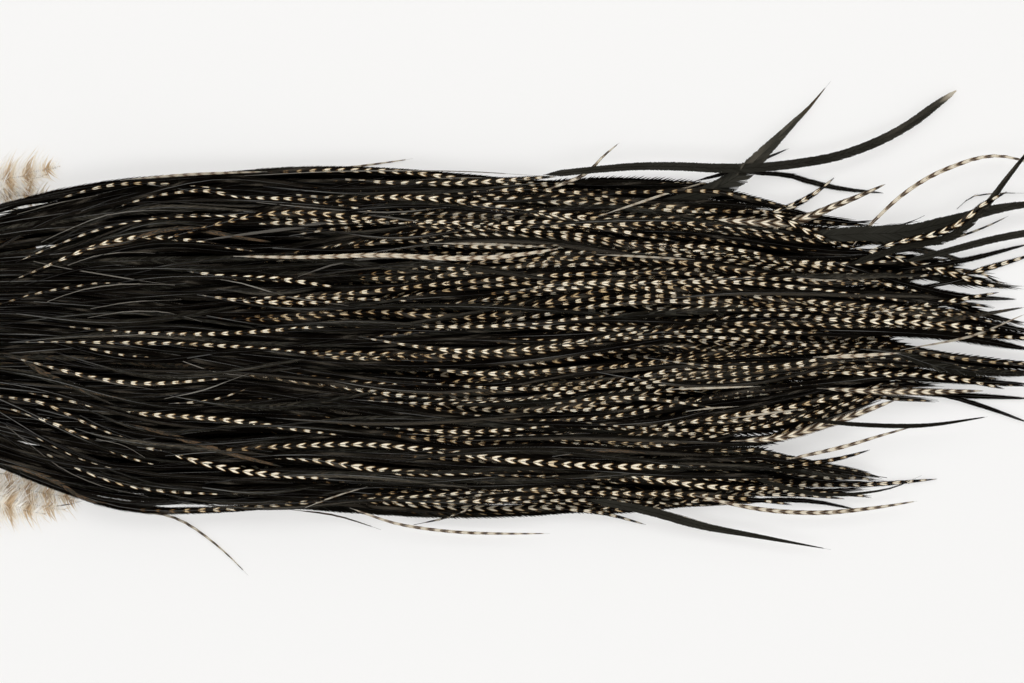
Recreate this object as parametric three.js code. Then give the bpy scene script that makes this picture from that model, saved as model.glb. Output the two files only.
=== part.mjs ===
// A dried rooster saddle hackle: a patch of skin with some hundreds of long, narrow saddle feathers
// growing from it, lying flat on a table with the feathers combed towards +X. Millimetres, +Z up.
//
// The feathers lie together in locks, from four to nine to a lock, and the locks lie in three courses,
// like the courses of a thatched roof. The under course grows from the skin's tail edge, the middle
// course from the middle of the skin and the top course from near its front. Some single feathers have
// come out of the locks and stray across the top and past the edges. Down spreads from the skin's two
// sides.
//
// While it is laid out, x = 0 is the skin's tail edge and y = 0 the line from neck to tail. At the end
// the whole is moved so that the origin is on the table, in the middle of the footprint.
import * as THREE from "three";

// Driving dimensions
const GAP = 0.36; // air between neighbouring locks and courses
const SKIN = { length: 84, halfWidth: 38, frontHalfWidth: 22, thickness: 1.6, uneven: 0.05 };
const FULL_HALF_WIDTH = 48; // half the width of the feathers where they lie side by side
const NECK_SHIFT = 4; // the neck end lies this far to +Y
const REACH = { longest: 290, edgeShorter: 84, edgePower: 2.3 }; // where the tips end, by place across
const HEIGHT = { root: 2.4, middle: 3.9, tail: 1.7, least: 0.8 }; // of one course of locks
const SIDE_THINNING = 0.55; // share of its height that a course has lost at the sides
const RISE = 24; // length over which a course climbs over the quills of the next one
const DROP = { from: 6, to: 46 }; // the under course comes down from the skin to the table between these x
const STATION_STEP = 22; // every lock has its sections at multiples of this, so that they nest
const SHORTEST_STEP = 4; // between the first or last section of a lock and the next

// Each course: how many locks it has, where they root, half the width that they root over, the length
// in which they fan out to their share of the full width, how far their tips end before the longest,
// and the slow sideways sway of its feathers.
const COURSES = [
  {
    name: "under_lock", locks: 10, root: -9, rootHalfWidth: 39, fanLength: 84, width: 0.93,
    shorter: 0, sway: 3.2, wave: 190, phase: 0.1, turn: 0.35,
  },
  {
    name: "middle_lock", locks: 13, root: -40, rootHalfWidth: 31, fanLength: 96, width: 1,
    shorter: 7, sway: 4.2, wave: 230, phase: 0.62, turn: 0.5,
  },
  {
    name: "top_lock", locks: 17, root: -70, rootHalfWidth: 13, fanLength: 100, width: 0.98,
    shorter: 19, sway: 4.6, wave: 205, phase: 0.3, turn: 0.62,
  },
];
const ROOT_STAGGER = 8;
const TIP_STAGGER = 26;
const QUILLS_WIDTH = 1.7; // of a lock where its quills leave the skin
const QUILLS_TO_FULL = 36; // length over which a lock widens from its quills to its lane
const LOCK_TAPER = 74; // length over which a lock narrows to its longest feather's tip
const TIP_SHARE = 0.12; // of the full width left just before the tip
const LANE_SWAY = { share: 0.19, shortest: 95, longest: 155, after: 90 }; // of each parting by itself

// Single feathers that have come out of the locks. Each lies at its own level over the courses, so
// that those which cross don't touch, and follows its route [x, y] from where it comes out to its tip.
const STRAYS = [
  {
    name: "long_black_feather", level: 4, width: 3.3,
    route: [[138, 46.5], [166, 49], [194, 48.5], [210, 50], [224, 53], [239, 59.8], [254.4, 70.8]],
  },
  {
    name: "broad_black_feather", level: 3, width: 6.4,
    route: [[165, 38], [182, 41.5], [192, 46], [200, 53], [208.5, 61.5], [214, 67], [219, 73.4]],
  },
  {
    name: "short_barred_feather", level: 3, width: 3,
    route: [[186, 34], [207, 33.5], [221, 38.5], [229.5, 42], [234, 44.2]],
  },
  {
    name: "arched_barred_feather", level: 4, width: 1.9,
    route: [[224, 26], [231.5, 34.7], [238, 40.6], [246.5, 46.2], [255, 49.8], [263, 52], [271.5, 51], [280, 48]],
  },
  {
    name: "sweeping_black_feather", level: 3, width: 5.4,
    route: [[200, 28], [224, 30], [238, 30.5], [252, 33.6], [266, 37.3], [281, 39.2]],
  },
  {
    name: "raised_barred_feather", level: 5, width: 3.8,
    route: [[222, 21], [239, 26.5], [252, 29.5], [262, 38.5], [268, 46], [277, 57]],
  },
  {
    name: "right_black_feather", level: 3, width: 2.8,
    route: [[238, 22], [252, 25.5], [266, 29], [284, 32]],
  },
  {
    name: "lower_black_feather", level: 3, width: 3.6,
    route: [[150, -44], [168, -47.6], [182, -51.6], [199, -54.8], [219, -58.5]],
  },
  {
    name: "lower_barred_feather", level: 3, width: 2.1,
    route: [[180, -43], [199, -47], [216, -48], [232, -46.5], [243, -44.7]],
  },
  {
    name: "lower_curved_feather", level: 3, width: 3.2,
    route: [[196, -38], [214, -42.6], [228, -42.4], [237, -40.6], [244, -37.4]],
  },
  {
    name: "fine_lower_feather", level: 3, width: 1.6,
    route: [[206, -33], [222, -29.4], [232, -26.4], [242, -23.6]],
  },
  {
    name: "thin_black_feather", level: 4, width: 1.8,
    route: [[206, -21], [224, -23], [244, -23.4], [262, -21]],
  },
  {
    name: "trailing_barred_feather", level: 3, width: 1.5,
    route: [[84, -46.5], [97, -51], [112, -53.3], [126, -53.9], [140, -53.9]],
  },
  {
    name: "hanging_wisp", level: 0, width: 1.1,
    route: [[24, -48.2], [31, -48.8], [37, -51], [43, -55], [49, -60], [55, -66]],
  },
  {
    name: "upper_wisp", level: 0, width: 1.1,
    route: [[66, 48.6], [80, 48.8], [92, 50.2], [101.5, 51.6]],
  },
  {
    name: "short_upper_feather", level: 3, width: 1.4,
    route: [[138, 42], [150, 47], [155, 52], [159.5, 55.8]],
  },
];
const STRAY = { stations: 11, thickness: 0.8, edgeHeight: 0.3 };
const DROOP = { left: 0.35, from: 1.06, to: 1.4 }; // of its height left to what lies past the sides

// The down on the skin's two flanks: how far it reaches outward, and how far its tufts lean to the tail.
const DOWN = { tufts: 7, lean: 5, thickness: 1.7, clear: 0.5 };
const FLANKS = [
  { name: "right_flank_down", side: 1, from: -64, to: -3, reach: 12.5 },
  { name: "left_flank_down", side: -1, from: -60, to: 4, reach: 16 },
];

const BARRED_SHARE = 0.55; // of the locks in which barred feathers show most
const COLOURS = {
  black: { color: 0x14110f, roughness: 0.45, metalness: 0 },
  barred: { color: 0x6a5b45, roughness: 0.5, metalness: 0 },
  down: { color: 0xcdb898, roughness: 0.9, metalness: 0 },
  skin: { color: 0xc3a277, roughness: 0.75, metalness: 0 },
};

const { clamp, lerp, smoothstep } = THREE.MathUtils;

// A fixed number from 0 to 1 for each seed, so that the part comes out the same each time.
function scatter(seed) {
  const spun = Math.sin(seed * 127.1 + 11.7) * 43758.5453;
  return spun - Math.floor(spun);
}

// Half the width of a course at x: the feathers leave the skin at a slant and bend to lie parallel.
function courseHalfWidth(course, x) {
  const along = clamp((x - course.root) / course.fanLength, 0, 1);
  return lerp(course.rootHalfWidth, FULL_HALF_WIDTH * course.width, 1 - (1 - along) ** 1.5);
}

const centreLine = (x) => NECK_SHIFT * (1 - smoothstep(x, -SKIN.length, 50));
const widest = (x) => lerp(SKIN.frontHalfWidth, FULL_HALF_WIDTH, smoothstep(x, -1.3 * SKIN.length, 30));
const across = (x, y) => Math.abs(y - centreLine(x)) / widest(x);

// The height of one course at a place: fullest along the middle, thin at the sides and the tips.
function courseHeight(x, y) {
  const swell = lerp(HEIGHT.root, HEIGHT.middle, smoothstep(x, -SKIN.length, 50));
  const along = lerp(swell, HEIGHT.tail, smoothstep(x, 60, REACH.longest));
  const side = clamp(across(x, y), 0, 1.1) ** 3;
  return Math.max(HEIGHT.least, along * (1 - SIDE_THINNING * side));
}

// The height of the underside of a level. The under course is level 0, and strays lie on level 3 and
// up. In front of the quills of the courses below it, a course comes down to the skin.
function levelBottom(level, x, y) {
  const overSkin = (SKIN.thickness + GAP) * (1 - smoothstep(x, DROP.from, DROP.to));
  let below = Math.max(0, level - COURSES.length);
  for (const course of COURSES.slice(0, level)) {
    const quills = course.root - ROOT_STAGGER;
    below += smoothstep(x, quills - RISE, quills);
  }
  const drooped = lerp(1, DROOP.left, smoothstep(across(x, y), DROOP.from, DROOP.to));
  return (overSkin + below * (courseHeight(x, y) + GAP)) * drooped;
}

// A closed skin round a row of rings that all have as many points, with a point at each end.
function loft(rings, start, end) {
  const sides = rings[0].length;
  const points = [start, ...rings.flat(), end];
  const last = points.length - 1;
  const corner = (ring, side) => 1 + ring * sides + (side % sides);
  const faces = [];
  for (let side = 0; side < sides; side++) {
    faces.push(0, corner(0, side + 1), corner(0, side));
    for (let ring = 0; ring + 1 < rings.length; ring++) {
      const [a, b] = [corner(ring, side), corner(ring, side + 1)];
      const [c, d] = [corner(ring + 1, side), corner(ring + 1, side + 1)];
      faces.push(a, b, c, b, d, c);
    }
    faces.push(last, corner(rings.length - 1, side), corner(rings.length - 1, side + 1));
  }
  const geometry = new THREE.BufferGeometry().setFromPoints(points);
  geometry.setIndex(faces);
  geometry.computeVertexNormals();
  return geometry;
}

function piece(name, geometry, look) {
  const mesh = new THREE.Mesh(geometry, new THREE.MeshStandardMaterial(look));
  mesh.name = name;
  return mesh;
}

// The line between two neighbouring locks of a course at x. It sways with the whole course and a
// little by itself, so that locks swell and narrow. edge runs from 0 to the number of locks.
function partingLine(course, edge, x) {
  const u = (2 * edge) / course.locks - 1;
  const grown = smoothstep(x, course.root, course.root + LANE_SWAY.after);
  const turns = x / course.wave + course.phase + u * course.turn;
  const sway = course.sway * (1 - 0.75 * u * u) * Math.sin(2 * Math.PI * turns);
  const lane = (2 * FULL_HALF_WIDTH) / course.locks;
  const seed = edge + 40 * course.locks;
  const ownWave = lerp(LANE_SWAY.shortest, LANE_SWAY.longest, scatter(seed));
  const own = LANE_SWAY.share * lane * Math.sin(2 * Math.PI * (x / ownWave + scatter(seed + 0.5)));
  return centreLine(x) + u * courseHalfWidth(course, x) + grown * (sway + own);
}

// A lock's section: [place across from -1 to 1, share of its height].
const LOCK_SECTION = [
  [-1, 0.42],
  [-0.6, 0],
  [0.6, 0],
  [1, 0.42],
  [0.52, 0.94],
  [-0.4, 1],
];

// One lock: it starts narrow at the quills, fills its lane and tapers to a tip.
function lock(course, level, index) {
  const seed = 100 * level + index;
  const u = (2 * (index + 0.5)) / course.locks - 1;
  const root = course.root - ROOT_STAGGER * scatter(seed) * (1 - 0.5 * u * u);
  const fullReach = REACH.longest - REACH.edgeShorter * Math.abs(u) ** REACH.edgePower;
  const tip = fullReach - course.shorter - TIP_STAGGER * scatter(seed + 0.3);

  const stations = [root];
  const first = Math.ceil((root + SHORTEST_STEP) / STATION_STEP) * STATION_STEP;
  for (let x = first; x < tip - SHORTEST_STEP; x += STATION_STEP) stations.push(x);

  const placeAt = (x, [side, up], share) => {
    const low = partingLine(course, index, x) + GAP / 2;
    const high = partingLine(course, index + 1, x) - GAP / 2;
    const y = (low + high) / 2 + (side * share * (high - low)) / 2;
    const fill = Math.min(1, 0.3 + 0.9 * share);
    const z = levelBottom(level, x, y) + up * fill * courseHeight(x, y);
    return new THREE.Vector3(x, y, z);
  };
  const rootLane = (2 * courseHalfWidth(course, root)) / course.locks;
  const rootShare = Math.min(1, QUILLS_WIDTH / rootLane);
  const shareAt = (x) => {
    const grown = lerp(rootShare, 1, smoothstep(x, root, root + QUILLS_TO_FULL));
    const left = lerp(TIP_SHARE, 1, clamp((tip - x) / LOCK_TAPER, 0, 1) ** 0.8);
    return Math.min(grown, left);
  };
  const rings = stations.map((x) => LOCK_SECTION.map((corner) => placeAt(x, corner, shareAt(x))));
  const start = placeAt(root - SHORTEST_STEP, [0, 0.5], rootShare);
  const end = placeAt(tip, [0, 0.5], TIP_SHARE);
  const look = scatter(seed + 0.8) < BARRED_SHARE ? COLOURS.barred : COLOURS.black;
  return piece(`${course.name}_${String(index + 1).padStart(2, "0")}`, loft(rings, start, end), look);
}

// A single feather along its route: two vanes that slope down from the shaft, widest past the middle.
function strayFeather({ name, level, width, route }) {
  const curve = new THREE.CatmullRomCurve3(
    route.map(([x, y]) => new THREE.Vector3(x, y, 0)),
    false,
    "centripetal",
  );
  const bottomAt = ({ x, y }) => (level ? levelBottom(level, x, y) : 0);
  const section = [
    [1, STRAY.edgeHeight],
    [0, 1],
    [-1, STRAY.edgeHeight],
    [0, 0],
  ];
  const rings = [];
  for (let i = 0; i < STRAY.stations; i++) {
    const along = (i + 0.4) / STRAY.stations;
    const centre = curve.getPointAt(along);
    const ahead = curve.getTangentAt(along);
    const half = (width / 2) * Math.min(0.45 + 1.6 * along, 1, 0.16 + 1.9 * (1 - along));
    const corners = section.map(([side, up]) => new THREE.Vector3(
      centre.x - ahead.y * side * half,
      centre.y + ahead.x * side * half,
      bottomAt(centre) + up * STRAY.thickness,
    ));
    rings.push(corners);
  }
  const [start, end] = [curve.getPointAt(0), curve.getPointAt(1)];
  start.z = bottomAt(start) + STRAY.edgeHeight * STRAY.thickness;
  end.z = bottomAt(end) + STRAY.edgeHeight * STRAY.thickness;
  const look = name.includes("black") ? COLOURS.black : COLOURS.barred;
  return piece(name, loft(rings, start, end), look);
}

// Half the width of the skin, from the tail, where forward is 0, to the narrow neck, where it is 1.
const skinWidth = (forward) => lerp(SKIN.halfWidth, SKIN.frontHalfWidth, smoothstep(forward, 0.35, 1));
const roundedOff = (forward) => (4 * forward * (1 - forward)) ** 0.28;

// The dried skin: a flat shield with an uneven edge.
function skinPatch() {
  const points = [];
  const steps = 28;
  for (let i = 0; i < steps; i++) {
    const turn = (2 * Math.PI * i) / steps;
    const forward = (1 - Math.cos(turn)) / 2;
    const uneven = 1 + SKIN.uneven * (scatter(i + 700) - 0.5);
    const x = -SKIN.length * forward;
    const y = Math.sign(Math.sin(turn)) * skinWidth(forward) * roundedOff(forward) * uneven;
    points.push(new THREE.Vector2(x, y + centreLine(x)));
  }
  const geometry = new THREE.ExtrudeGeometry(new THREE.Shape(points), {
    depth: SKIN.thickness,
    bevelEnabled: false,
  });
  return piece("skin_patch", geometry, COLOURS.skin);
}

// The down along one flank: a thin mat beside the skin, whose tufts lean to the tail.
function flankDown({ name, side, from, to, reach }) {
  const inner = [];
  const outer = [];
  const steps = DOWN.tufts * 3;
  for (let i = 0; i <= steps; i++) {
    const along = i / steps;
    const x = lerp(from, to, along);
    const forward = -x / SKIN.length;
    const skinSide = skinWidth(forward) * roundedOff(Math.max(forward, 0.5));
    const close = skinSide * (1 + SKIN.uneven / 2) + DOWN.clear;
    const inTuft = (i % 3) / 3;
    const out = reach * lerp(0.3, 1, smoothstep(along, 0, 0.6)) * (0.5 + 0.5 * inTuft) + 2;
    inner.push(new THREE.Vector2(x, side * close + centreLine(x)));
    outer.push(new THREE.Vector2(x + DOWN.lean * inTuft, side * (close + out) + centreLine(x)));
  }
  const geometry = new THREE.ExtrudeGeometry(new THREE.Shape([...inner, ...outer.reverse()]), {
    depth: DOWN.thickness,
    bevelEnabled: false,
  });
  return piece(name, geometry, COLOURS.down);
}

const hackle = new THREE.Group();
hackle.name = "rooster_saddle_hackle";
hackle.add(skinPatch(), ...FLANKS.map(flankDown));
COURSES.forEach((course, level) => {
  for (let index = 0; index < course.locks; index++) hackle.add(lock(course, level, index));
});
hackle.add(...STRAYS.map(strayFeather));

// The origin goes to the middle of the footprint, on the table.
const box = new THREE.Box3().setFromObject(hackle);
const middle = box.getCenter(new THREE.Vector3());
hackle.position.set(-middle.x, -middle.y, -box.min.z);

export default hackle;
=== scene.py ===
"""The looks of a dried rooster saddle hackle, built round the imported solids.

Every lock of feathers, every single feather and both patches of down are grown here barb by barb along
the solids of the frame, and the skin gets its pores and wrinkles. Lengths in this file are millimetres
unless a name says otherwise, and turn into metres where a mesh is made.
"""

import math

import bpy
import numpy as np
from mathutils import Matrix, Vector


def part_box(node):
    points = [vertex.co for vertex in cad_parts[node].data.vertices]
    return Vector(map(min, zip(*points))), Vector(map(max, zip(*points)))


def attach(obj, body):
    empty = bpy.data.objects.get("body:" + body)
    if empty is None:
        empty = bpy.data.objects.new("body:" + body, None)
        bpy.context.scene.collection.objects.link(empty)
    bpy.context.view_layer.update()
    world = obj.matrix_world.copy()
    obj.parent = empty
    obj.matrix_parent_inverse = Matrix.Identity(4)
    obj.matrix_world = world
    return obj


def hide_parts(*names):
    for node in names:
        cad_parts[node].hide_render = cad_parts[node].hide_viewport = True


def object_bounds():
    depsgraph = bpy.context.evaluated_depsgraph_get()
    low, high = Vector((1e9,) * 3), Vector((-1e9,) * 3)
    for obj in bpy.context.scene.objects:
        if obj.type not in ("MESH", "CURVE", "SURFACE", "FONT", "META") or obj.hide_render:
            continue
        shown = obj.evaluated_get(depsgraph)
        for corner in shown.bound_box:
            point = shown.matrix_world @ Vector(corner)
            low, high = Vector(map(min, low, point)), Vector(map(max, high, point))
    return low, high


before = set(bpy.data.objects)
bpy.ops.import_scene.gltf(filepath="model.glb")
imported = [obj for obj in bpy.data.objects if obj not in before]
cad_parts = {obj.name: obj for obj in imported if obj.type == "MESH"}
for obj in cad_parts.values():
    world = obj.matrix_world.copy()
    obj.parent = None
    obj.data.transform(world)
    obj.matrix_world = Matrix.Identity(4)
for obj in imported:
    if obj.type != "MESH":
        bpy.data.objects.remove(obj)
cad_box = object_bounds()

MM = 0.001

# Where the photographed view lies over the part
PIXEL = 0.28  # the size of one of the photo's 1024 by 683 pixels on the hackle
SIGHT_WIDTH = 1024 * PIXEL
SKIN_BEFORE_VIEW = 70.0  # the skin's front edge lies this far before the view's left edge
TIP_OVER_MIDDLE = 73.4  # the highest tip lies this far above the view's middle line

LEFT_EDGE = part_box("skin_patch")[0].x / MM + SKIN_BEFORE_VIEW
MIDDLE_LINE = cad_box[1].y / MM - TIP_OVER_MIDDLE


def at_pixel(across, down):
    """The place on the hackle, in millimetres, under a pixel of the photographed view."""
    return LEFT_EDGE + PIXEL * across, MIDDLE_LINE + PIXEL * (683 / 2 - down)


# Node trees


class Field:
    """What comes out of a node, so that sums with it can be written out."""

    def __init__(self, socket):
        self.socket, self.node, self.tree = socket, socket.node, socket.id_data

    def __add__(self, other):
        return reckon("ADD", self, other)

    def __sub__(self, other):
        return reckon("SUBTRACT", self, other)

    def __rsub__(self, other):
        return reckon("SUBTRACT", other, self)

    def __mul__(self, other):
        return reckon("MULTIPLY", self, other)

    def __truediv__(self, other):
        return reckon("DIVIDE", self, other)


def in_use(sockets, name=None):
    """The first socket in use, or the one that has this name or number."""
    if isinstance(name, int):
        return sockets[name]
    return next(s for s in sockets if s.enabled and name in (None, s.name))


def add(tree, kind, inputs=None, output=None, **settings):
    """A new node's output. Its inputs are linked to a field or set to a value."""
    made = tree.nodes.new(kind)
    for name, value in settings.items():
        setattr(made, name, value)
    for name, value in (inputs or {}).items():
        socket = in_use(made.inputs, name)
        if isinstance(value, Field):
            tree.links.new(value.socket, socket)
        else:
            socket.default_value = value
    return Field(in_use(made.outputs, output))


def reckon(operation, *values):
    """The result of a Math node, or of a Vector Math node where the first value is a vector."""
    tree = next(value.tree for value in values if isinstance(value, Field))
    if not isinstance(values[0], Field) or values[0].socket.type != "VECTOR":
        return add(tree, "ShaderNodeMath", dict(enumerate(values)), operation=operation)
    if operation == "MULTIPLY":
        return add(tree, "ShaderNodeVectorMath", {0: values[0], "Scale": values[1]}, operation="SCALE")
    return add(tree, "ShaderNodeVectorMath", dict(enumerate(values)), operation=operation)


def link(field, node, name):
    field.tree.links.new(field.socket, node.inputs[name])


def clamped(field):
    """The result of a Math node, held between 0 and 1."""
    field.node.use_clamp = True
    return field


def named(tree, name, data_type="FLOAT"):
    return add(tree, "GeometryNodeInputNamedAttribute", {"Name": name}, "Attribute", data_type=data_type)


def store(tree, geometry, domain="POINT", data_type="FLOAT", **fields):
    """The geometry with these fields kept on it under their names."""
    for name, value in fields.items():
        geometry = add(
            tree, "GeometryNodeStoreNamedAttribute", {"Geometry": geometry, "Name": name, "Value": value},
            domain=domain, data_type=data_type)
    return geometry


def random_between(tree, low, high, seed):
    return add(
        tree, "FunctionNodeRandomValue", {"Min": low, "Max": high, "Seed": seed}, data_type="FLOAT")


def position(tree, axis):
    place = add(tree, "GeometryNodeInputPosition")
    return add(tree, "ShaderNodeSeparateXYZ", {0: place}, axis)


# The tree that grows a feather along each line

FEATHER_SIZES = {
    "Barb angle": math.radians(26),  # between the barbs and the shaft
    "Overlap": 3.6,  # a barb's least length along the shaft, in spacings, which keeps slim vanes smooth
    "Droop": math.radians(9),  # of both vanes, down from the shaft
    "Cover": 2.8,  # a barb's width at its root, over the room that it has
    "Blunt": 0.0,  # a barb's width at its end, over its width at its root
    "Flatness": 0.035,  # a barb's thickness, over its width
    "Unevenness": 0.1,  # of the barbs' lengths
    "Curl": 0.0,  # how far a barb's end bends to the tip, over its length
    "Fluff": 0.0,  # how far a barb's end strays up or down, over its length
    "Shortest barb": 0.26,  # a vane narrower than this many spacings of its barbs has none
    "Widest vane": 3.6 * MM,
    "Bar slant": 2.4,  # how far a bar runs to the tip for each millimetre that it goes outward
    "Streaks": 1.0,  # how much its barbs differ in tone, which also sets how many get painted sheen
}
FEATHER_COUNTS = {"Barb segments": 1, "Seed": 0, "Strips": 1}


def made_of(tree, geometry, material):
    return add(tree, "GeometryNodeSetMaterial", {"Geometry": geometry, "Material": material})


def barbs_on_side(tree, curve, given, side):
    """Barbs along one side of the lines: three-sided spikes with a ridge, leaning to the tip. Each draw
    of random numbers has its own seed."""
    seed = given["Seed"] + (10.0 + side)
    vane, spacing, unevenness = named(tree, "vane"), named(tree, "spacing"), given["Unevenness"]
    shortest = spacing * given["Overlap"]
    angle = reckon("MINIMUM", given["Barb angle"], reckon("ARCTAN2", vane, shortest))
    lean = angle * (random_between(tree, -0.35, 0.35, seed) * unevenness + 1.0)
    sine, cosine = reckon("SINE", lean), reckon("COSINE", lean)
    part = random_between(tree, 0.0, 1.0, seed + 20.0)
    length = vane / sine * (1.0 - part * unevenness)
    width = spacing * sine * given["Cover"]

    ahead = add(tree, "GeometryNodeInputTangent")
    up = named(tree, "up", "FLOAT_VECTOR")
    outward = reckon("CROSS_PRODUCT", up, ahead) * float(side)
    droop = given["Droop"]
    sideways = outward * reckon("COSINE", droop) - up * reckon("SINE", droop)
    rotation = add(
        tree, "FunctionNodeAxesToRotation",
        {"Primary Axis": ahead * cosine + sideways * sine, "Secondary Axis": up},
        primary_axis="Z", secondary_axis="X")

    strays = random_between(tree, -1.0, 1.0, seed + 40.0)
    bend = (ahead * given["Curl"] + up * (strays * given["Fluff"])) * length
    shade = random_between(tree, -0.5, 0.5, seed + 60.0)
    curve = store(tree, curve, data_type="FLOAT_VECTOR", bend=bend)
    curve = store(
        tree, curve, side=float(side), barb_out=length * sine, barb_forward=length * cosine,
        beside_out=width * cosine * -float(side), beside_forward=width * sine * float(side),
        fleck=shade * given["Streaks"] + 0.5)

    spike = add(
        tree, "GeometryNodeMeshCone",
        {"Vertices": 3, "Side Segments": given["Barb segments"], "Depth": 1.0,
         "Radius Top": given["Blunt"] / math.sqrt(3), "Radius Bottom": 1 / math.sqrt(3)},
        "Mesh", fill_type="NGON")
    spike = store(tree, spike, reach=position(tree, "Z"), beside=position(tree, "Y"))
    has_vane = add(
        tree, "FunctionNodeCompare", {"A": vane, "B": given["Shortest barb"] * spacing},
        data_type="FLOAT", operation="GREATER_THAN")
    scale = add(
        tree, "ShaderNodeCombineXYZ", {"X": width * given["Flatness"], "Y": width, "Z": length})
    placed = add(
        tree, "GeometryNodeInstanceOnPoints",
        {"Points": curve, "Selection": has_vane, "Instance": spike, "Rotation": rotation, "Scale": scale})
    barbs = add(tree, "GeometryNodeRealizeInstances", {"Geometry": placed})
    return made_of(tree, barbs, given["Material"])


def shafts(tree, lines, given):
    """A three-sided shaft along each line, smooth to look at, with its ends closed."""
    section = add(tree, "GeometryNodeCurvePrimitiveCircle", {"Resolution": 3, "Radius": 1.0}, mode="RADIUS")
    section = store(tree, section, rim=position(tree, "Y"))
    upright = add(tree, "GeometryNodeSetCurveNormal", {"Curve": lines}, mode="Z_UP")
    shaft = add(
        tree, "GeometryNodeCurveToMesh",
        {"Curve": upright, "Profile Curve": section, "Scale": named(tree, "shaft"), "Fill Caps": True})
    shaft = add(tree, "GeometryNodeSetShadeSmooth", {"Geometry": shaft, "Shade Smooth": True})
    return made_of(tree, shaft, given["Shaft material"])


def chart(tree, given, outward, forward):
    """Each feather's strip of the texture: u runs along it and v across it."""
    side = named(tree, "rim") * (0.02 * MM) + outward * named(tree, "side")
    row = named(tree, "strip") + 0.5 + side / given["Widest vane"] * 0.48
    along = (named(tree, "along") + forward) / named(tree, "line_length")
    return add(tree, "ShaderNodeCombineXYZ", {"X": along * 0.96 + 0.01, "Y": row / given["Strips"]})


def feather_tree():
    """Lines with attributes go in, and feathers come out."""
    tree = bpy.data.node_groups.new("feather_along_line", "GeometryNodeTree")
    kinds = {"Geometry": "Geometry", **dict.fromkeys(FEATHER_SIZES, "Float"),
             **dict.fromkeys(FEATHER_COUNTS, "Int"), "Material": "Material", "Shaft material": "Material"}
    for name, kind in kinds.items():
        socket = tree.interface.new_socket(name, in_out="INPUT", socket_type="NodeSocket" + kind)
        if kind in ("Float", "Int"):
            socket.default_value = {**FEATHER_SIZES, **FEATHER_COUNTS}[name]
    tree.interface.new_socket("Geometry", in_out="OUTPUT", socket_type="NodeSocketGeometry")
    given = {socket.name: Field(socket) for socket in tree.nodes.new("NodeGroupInput").outputs}

    lines = add(tree, "GeometryNodeMeshToCurve", {"Mesh": given["Geometry"]})
    rooted = add(
        tree, "GeometryNodeResampleCurve", {"Curve": lines, "Length": named(tree, "spacing")},
        mode="LENGTH")
    joined = add(tree, "GeometryNodeJoinGeometry")
    link(shafts(tree, lines, given), joined.node, 0)
    for side in (-1, 1):
        link(barbs_on_side(tree, rooted, given, side), joined.node, 0)

    reach, beside = named(tree, "reach"), named(tree, "beside")
    outward = named(tree, "beside_out") * beside + named(tree, "barb_out") * reach
    forward = named(tree, "beside_forward") * beside + named(tree, "barb_forward") * reach
    off_shaft = reckon("ABSOLUTE", outward)
    slanted = forward - off_shaft * given["Bar slant"]
    made = store(
        tree, joined, bar_place=named(tree, "bars") + slanted / named(tree, "pitch"),
        edge=off_shaft / reckon("MAXIMUM", named(tree, "vane"), 0.1 * MM))
    made = store(
        tree, made, domain="CORNER", data_type="FLOAT2", OFBake=chart(tree, given, outward, forward))
    bent = named(tree, "bend", "FLOAT_VECTOR") * (reach * reach)
    made = add(tree, "GeometryNodeSetPosition", {"Geometry": made, "Offset": bent})
    link(made, tree.nodes.new("NodeGroupOutput"), 0)
    return tree


# What each point of a feather's line carries, and what the materials read on the finished feather
LENGTHS_ON_LINE = ("vane", "shaft", "spacing", "pitch", "along", "line_length")
CARRIED_ON_LINE = (*LENGTHS_ON_LINE, "bars", "strength", "tone", "pale", "strip")
SHOWN = ("bar_place", "edge", "strength", "tone", "pale", "along", "strip", "fleck", "OFBake")


def line_mesh(name, feathers):
    """One chain of edges for each feather, with what its barbs need to know at each point."""
    edges, columns, start = [], {key: [] for key in CARRIED_ON_LINE}, 0
    for strip, f in enumerate(feathers):
        count = len(f["points"])
        edges += [(i, i + 1) for i in range(start, start + count - 1)]
        start += count
        along = distances(f["points"])
        values = {**f, "along": along, "line_length": along[-1], "strip": strip}
        for key in columns:
            unit = MM if key in LENGTHS_ON_LINE else 1
            columns[key].append(np.broadcast_to(np.asarray(values[key], float) * unit, count))
    mesh = bpy.data.meshes.new(name)
    points = np.concatenate([f["points"] for f in feathers]) * MM
    mesh.from_pydata(points.tolist(), edges, [])
    for key, values in columns.items():
        layer = mesh.attributes.new(key, "FLOAT", "POINT")
        layer.data.foreach_set("value", np.concatenate(values).astype(np.float32))
    ups = mesh.attributes.new("up", "FLOAT_VECTOR", "POINT")
    ups.data.foreach_set("vector", np.concatenate([f["up"] for f in feathers]).astype(np.float32).ravel())
    return mesh


def keep_shown(mesh):
    """Takes the attributes that only the tree reads off a finished mesh."""
    kept = {*SHOWN, "material_index", "sharp_face"}
    spare = [a.name for a in mesh.attributes if not (a.is_internal or a.is_required or a.name in kept)]
    for name in spare:
        mesh.attributes.remove(mesh.attributes[name])


def new_object(name, data):
    made = bpy.data.objects.new(name, data)
    bpy.context.scene.collection.objects.link(made)
    return made


def ready(piece, slot, *nodes):
    """Puts a finished piece on the part, in place of these nodes."""
    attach(piece, "root")
    if nodes:
        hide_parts(*nodes)


PRESSED = 0.15  # what lies lower than this is pressed flat on the surface below


def points_of(mesh):
    points = np.empty(len(mesh.vertices) * 3)
    mesh.vertices.foreach_get("co", points)
    return points.reshape(-1, 3)


def lay_down(mesh):
    """Presses what would reach below the surface flat on it."""
    points = points_of(mesh)
    heights = points[:, 2] / MM
    pressed = PRESSED * np.exp(np.minimum(heights / PRESSED - 1, 0))
    points[:, 2] = np.where(heights < PRESSED, pressed, heights) * MM
    mesh.vertices.foreach_set("co", points.ravel())
    mesh.update()


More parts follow.
